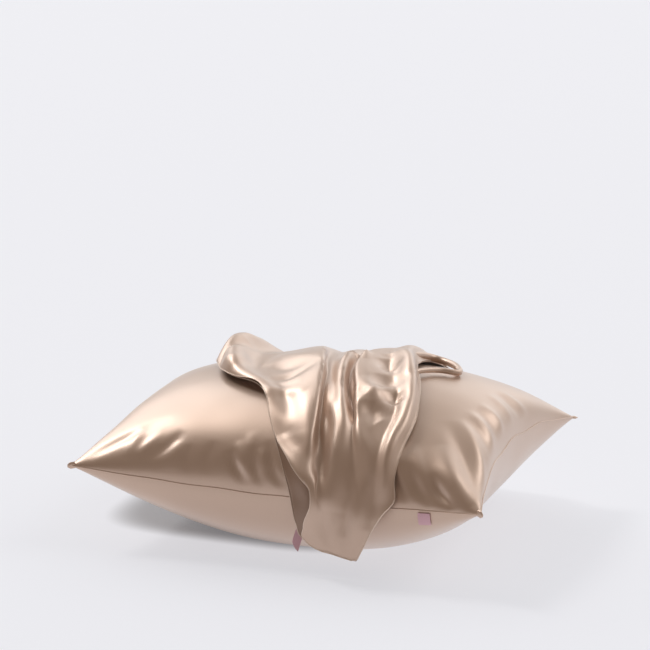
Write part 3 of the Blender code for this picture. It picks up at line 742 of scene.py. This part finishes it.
def pillow_ears(material):
    """The small blunt ears at the pillow's four corners."""
    reach = np.linspace(*EAR_RUN, EAR_RINGS)
    narrowing = EAR_TIP_SHARE + EAR_NARROWING * (EAR_RUN[1] - reach)
    narrowing = np.clip(narrowing, EAR_TIP_SHARE, 1)
    ears = []
    for side, side_name, shape in ((-1, "front", FRONT_EAR), (1, "back", BACK_EAR)):
        for end, end_name in ((-1, "left"), (1, "right")):
            corner = (end * HALF_LENGTH, side * HALF_WIDTH, seam_height(end, side))
            outward = np.array(EAR_OUTWARD) * (end, side, 1)
            centres = corner + outward * EAR_LENGTH * reach[:, None]
            widths = shape.half_width * narrowing
            name = f"pillow_ear_{end_name}_{side_name}"
            ears.append(tube_object(name, centres, widths, material, EAR_SIDES, shape.flatness))
    return ears


def back_loop(surface, material):
    """The rolled edge of the case that loops out behind its right side."""
    route = smooth_route(BACK_LOOP)
    points = sample_grid(surface[0], route[:, 0], route[:, 1])
    normals = sample_grid(surface[1], route[:, 0], route[:, 1])
    centres = points + normals * route[:, 2:3]
    return tube_object("satin_back_loop", centres, route[:, 3], material)


# ---- Materials.

SATIN_COLOUR = (0.66, 0.47, 0.355, 1.0)
# The hems are lighter than the satin: a painted highlight along the panels' rolled edges.
HEM_PAINTED_HIGHLIGHT_COLOUR = (0.74, 0.57, 0.45, 1.0)
# The back panel's reverse side is duller than the face, and its colour is darkened well past the satin's
# own as painted shade inside the case, where its strip shows past the front panel's left edge.
REVERSE_AND_PAINTED_SHADE_COLOUR = (0.36, 0.225, 0.155, 1.0)
SATIN_ROUGHNESS = 0.42
THREADS_PER_METRE = 1600.0
FLOAT_LENGTH = 9.0
RIBBON_COLOUR = (0.74, 0.44, 0.49, 1.0)
RIB_SPACING = 0.0012
FLOOR_COLOUR = (0.30, 0.30, 0.31, 1.0)
FLOOR_GLOW_COLOUR = (0.82, 0.83, 0.88, 1.0)
# The floor's glow in the contact shade and outside it, and the shade's middle and half size.
FLOOR_GLOW = (0.20, 0.70)
SHADE_CENTRE = (-0.11, 0.01)
SHADE_SIZE = (0.21, 0.17)


def darker(colour, share):
    return [share * level for level in colour[:3]] + [1.0]


def add_bump(tree, shader, height, strength, distance):
    bump = tree.nodes.new("ShaderNodeBump")
    bump.inputs["Strength"].default_value = strength
    bump.inputs["Distance"].default_value = distance
    tree.links.new(height, bump.inputs["Height"])
    tree.links.new(bump.outputs["Normal"], shader.inputs["Normal"])


def add_tint(tree, shader, share, low, high):
    """Base colours between low and high, by a pattern's share."""
    tint = tree.nodes.new("ShaderNodeMix")
    tint.data_type = "RGBA"
    tint.inputs["A"].default_value = low
    tint.inputs["B"].default_value = high
    tree.links.new(share, tint.inputs["Factor"])
    tree.links.new(tint.outputs["Result"], shader.inputs["Base Color"])


def add_weave(tree, shader, colour):
    """Fine threads with long floats, which stretch the highlights."""
    shader.inputs["Anisotropic"].default_value = 0.35
    tangent = tree.nodes.new("ShaderNodeTangent")
    tangent.direction_type = "UV_MAP"
    tangent.uv_map = "cloth"
    tree.links.new(tangent.outputs["Tangent"], shader.inputs["Tangent"])
    place = tree.nodes.new("ShaderNodeUVMap")
    place.uv_map = "cloth"
    stretch = tree.nodes.new("ShaderNodeMapping")
    stretch.inputs["Scale"].default_value = (THREADS_PER_METRE, THREADS_PER_METRE / FLOAT_LENGTH, 1)
    tree.links.new(place.outputs["UV"], stretch.inputs["Vector"])
    threads = tree.nodes.new("ShaderNodeTexNoise")
    threads.inputs["Scale"].default_value = 1.0
    threads.inputs["Detail"].default_value = 2.0
    tree.links.new(stretch.outputs["Vector"], threads.inputs["Vector"])
    add_bump(tree, shader, threads.outputs["Fac"], 0.25, 0.00006)
    add_tint(tree, shader, threads.outputs["Fac"], colour, darker(colour, 0.94))


def satin_material(name, colour, shine, woven):
    """Champagne satin. The woven one needs a cloth UV map in metres for its threads."""
    material = bpy.data.materials.new(name)
    material.use_nodes = True
    tree = material.node_tree
    shader = tree.nodes["Principled BSDF"]
    shader.inputs["Base Color"].default_value = colour
    shader.inputs["Roughness"].default_value = SATIN_ROUGHNESS
    shader.inputs["Metallic"].default_value = 0.50 * shine
    shader.inputs["Specular IOR Level"].default_value = 0.6
    shader.inputs["Coat Weight"].default_value = 0.9 * shine
    shader.inputs["Coat IOR"].default_value = 1.6
    shader.inputs["Coat Roughness"].default_value = 0.36
    shader.inputs["Sheen Weight"].default_value = 0.12
    shader.inputs["Sheen Roughness"].default_value = 0.4
    if woven:
        add_weave(tree, shader, colour)
    return material


def label_material():
    """Pink grosgrain ribbon with fine ribs across it."""
    material = bpy.data.materials.new("pink_ribbon_look")
    material.use_nodes = True
    tree = material.node_tree
    shader = tree.nodes["Principled BSDF"]
    shader.inputs["Roughness"].default_value = 0.55
    shader.inputs["Sheen Weight"].default_value = 0.3
    place = tree.nodes.new("ShaderNodeTexCoord")
    ribs = tree.nodes.new("ShaderNodeTexWave")
    ribs.wave_type = "BANDS"
    ribs.bands_direction = "Z"
    ribs.inputs["Scale"].default_value = 2 * math.pi / (20 * RIB_SPACING)
    ribs.inputs["Distortion"].default_value = 0.4
    tree.links.new(place.outputs["Object"], ribs.inputs["Vector"])
    add_tint(tree, shader, ribs.outputs["Fac"], darker(RIBBON_COLOUR, 0.86), RIBBON_COLOUR)
    add_bump(tree, shader, ribs.outputs["Fac"], 0.5, 0.0001)
    return material


def vector_math(tree, operation, *values):
    node = tree.nodes.new("ShaderNodeVectorMath")
    node.operation = operation
    for value, socket in zip(values, node.inputs):
        tree.links.new(value, socket)
    return node


def floor_material():
    """A pale floor that glows a little, and less so in the contact shade under the pillow."""
    material = bpy.data.materials.new("pale_floor")
    material.use_nodes = True
    tree = material.node_tree
    shader = tree.nodes["Principled BSDF"]
    shader.inputs["Base Color"].default_value = FLOOR_COLOUR
    shader.inputs["Roughness"].default_value = 0.9
    shader.inputs["Emission Color"].default_value = FLOOR_GLOW_COLOUR
    place = tree.nodes.new("ShaderNodeTexCoord")
    centred = vector_math(tree, "SUBTRACT", place.outputs["Object"])
    centred.inputs[1].default_value = (SHADE_CENTRE[0], SHADE_CENTRE[1], 0.0)
    scaled = vector_math(tree, "MULTIPLY", centred.outputs["Vector"])
    scaled.inputs[1].default_value = (1 / SHADE_SIZE[0], 1 / SHADE_SIZE[1], 0.0)
    squared = vector_math(tree, "MULTIPLY", scaled.outputs["Vector"], scaled.outputs["Vector"])
    fourth = vector_math(tree, "MULTIPLY", squared.outputs["Vector"], squared.outputs["Vector"])
    total = vector_math(tree, "DOT_PRODUCT", fourth.outputs["Vector"])
    total.inputs[1].default_value = (1.0, 1.0, 0.0)
    glow = tree.nodes.new("ShaderNodeMapRange")
    glow.interpolation_type = "SMOOTHSTEP"
    glow.inputs["From Min"].default_value = 0.35
    glow.inputs["From Max"].default_value = 1.35
    glow.inputs["To Min"].default_value = FLOOR_GLOW[0]
    glow.inputs["To Max"].default_value = FLOOR_GLOW[1]
    tree.links.new(total.outputs["Value"], glow.inputs["Value"])
    tree.links.new(glow.outputs["Result"], shader.inputs["Emission Strength"])
    return material


# ---- Floor, lights and camera.

CAMERA_AZIMUTH = 21.27
CAMERA_ELEVATION = 17.06
CAMERA_DISTANCE = 3.5
CAMERA_AIM = Vector((0.0, 0.0, 0.083))
CAMERA_LENS = 129.9
SENSOR = 36.0
# Where the aim stands from the middle of the frame, as slopes to the right and upwards.
AIM_RIGHT = 0.0021
AIM_UP = -0.0595
FLOOR_HALF = 30.0
LIGHT_DISTANCE = 3
BRIGHT_SIDE = (0.08, 0.924, 0.375)
# The cosine of the angle from the bright side, the light's level there, and its warmth.
WORLD_LEVELS = (
    (-0.60, 0.12, 0.22),
    (0.05, 0.125, 0.20),
    (0.45, 0.21, 0.06),
    (0.80, 0.33, 0.0),
    (0.93, 0.48, 0.0),
    (1.0, 1.0, 0.0),
)
WORLD_STRENGTH = 1.6


def toward(azimuth, elevation):
    """The direction at an azimuth from +X and an elevation, in degrees."""
    turn, rise = math.radians(azimuth), math.radians(elevation)
    level = math.cos(rise)
    return Vector((math.cos(turn) * level, math.sin(turn) * level, math.sin(rise)))


def aim(obj, target):
    """Turns a camera or lamp to look at a point."""
    obj.rotation_mode = "QUATERNION"
    obj.rotation_quaternion = (Vector(target) - obj.location).to_track_quat("-Z", "Y")


def make_camera():
    """The camera, whose azimuth is measured from the front of the object towards its right."""
    back = toward(CAMERA_AZIMUTH - 90, CAMERA_ELEVATION)
    camera = bpy.data.cameras.new("camera")
    obj = new_object("camera", camera)
    obj.location = CAMERA_AIM + back * CAMERA_DISTANCE
    right = (-back).cross(Vector((0, 0, 1))).normalized()
    up = right.cross(-back)
    # The object sits below the middle of the frame, so the camera looks over it.
    sight = -back - right * AIM_RIGHT - up * AIM_UP
    aim(obj, obj.location + sight)
    camera.lens = CAMERA_LENS
    camera.sensor_width = SENSOR
    camera.dof.use_dof = False
    bpy.context.scene.camera = obj


def make_floor():
    corners = np.array([(-1, -1, 0), (1, -1, 0), (1, 1, 0), (-1, 1, 0)]) * FLOOR_HALF
    floor = mesh_object("floor", corners, [(0, 1, 2, 3)], floor_material())


def sun_light(name, azimuth, elevation, width, strength, colour):
    """A distant lamp that stands at an azimuth from +X and an elevation, in degrees."""
    light = bpy.data.lights.new(name, "SUN")
    light.angle = math.radians(width)
    light.energy = strength
    light.color = colour
    obj = new_object(name, light)
    obj.location = LIGHT_DISTANCE * toward(azimuth, elevation)
    aim(obj, (0, 0, 0))


def make_world():
    """A bright studio behind and above the object that grows dim towards the camera's side."""
    world = bpy.data.worlds.new("studio")
    bpy.context.scene.world = world
    world.use_nodes = True
    tree = world.node_tree
    direction = tree.nodes.new("ShaderNodeTexCoord")
    toward_light = vector_math(tree, "DOT_PRODUCT", direction.outputs["Generated"])
    toward_light.inputs[1].default_value = BRIGHT_SIDE
    spread = tree.nodes.new("ShaderNodeMapRange")
    spread.inputs["From Min"].default_value = -1.0
    tree.links.new(toward_light.outputs["Value"], spread.inputs["Value"])
    ramp = tree.nodes.new("ShaderNodeValToRGB")
    elements = ramp.color_ramp.elements
    while len(elements) < len(WORLD_LEVELS):
        elements.new(0.5)
    for element, (place, level, warmth) in zip(elements, WORLD_LEVELS):
        element.position = (place + 1) / 2
        element.color = (level, level * (1 - warmth), level * (1 - 1.8 * warmth), 1.0)
    tree.links.new(spread.outputs["Result"], ramp.inputs["Fac"])
    background = tree.nodes["Background"]
    tree.links.new(ramp.outputs["Color"], background.inputs["Color"])
    background.inputs["Strength"].default_value = WORLD_STRENGTH


def make_lights():
    sun_light("broad key", 145, 34, 42, 0.74, (1.0, 1.0, 1.0))
    sun_light("crisp key", 162, 46, 12, 0.70, (1.0, 0.99, 0.98))
    sun_light("right fill", 36, 40, 34, 0.68, (1.0, 1.0, 1.0))
    make_world()
    bpy.context.scene.view_settings.view_transform = "Standard"


def add_pillow(satin):
    pillow = pillow_object(satin)
    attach(pillow, "root")
    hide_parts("pillow")


def add_panels(surface, satin, reverse_and_painted_shade, hem_painted_highlight_look):
    """The draped case's two panels, each with its hem."""
    front_grid, back_grid = panel_grids(surface)
    for name, node, grid, face in (
        ("satin_front_panel", "draped_front_panel", front_grid, satin),
        ("satin_back_panel", "draped_back_panel", back_grid, reverse_and_painted_shade),
    ):
        panel = grid_object(name, grid, face)
        thicken(panel, CLOTH_THICKNESS)
        hem = panel_hem(name + "_hem", grid, hem_painted_highlight_look)
        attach(hem, "root")
        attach(panel, "root")
        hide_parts(node)


def main():
    satin = satin_material("champagne_satin_look", SATIN_COLOUR, 1.0, woven=True)
    # The back panel is duller, and painted shade darkens its colour.
    reverse_and_painted_shade = satin_material("champagne_satin_reverse_painted_shade", REVERSE_AND_PAINTED_SHADE_COLOUR, 0.4, woven=True)
    trim = satin_material("champagne_satin_trim", SATIN_COLOUR, 1.0, woven=False)
    # The hems' lighter colour is a painted highlight.
    hem_painted_highlight_look = satin_material("champagne_satin_hem_painted_highlight", HEM_PAINTED_HIGHLIGHT_COLOUR, 1.0, woven=False)
    ribbon = label_material()
    surface = base_surface()
    add_pillow(satin)
    add_panels(surface, satin, reverse_and_painted_shade, hem_painted_highlight_look)
    for piece in (back_loop(surface, trim), pillow_seam(trim), *pillow_ears(trim)):
        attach(piece, "root")
    for node in ("pillow_label", "draped_label"):
        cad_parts[node].material_slots[0].material = ribbon
    make_floor()
    make_camera()
    make_lights()


main()
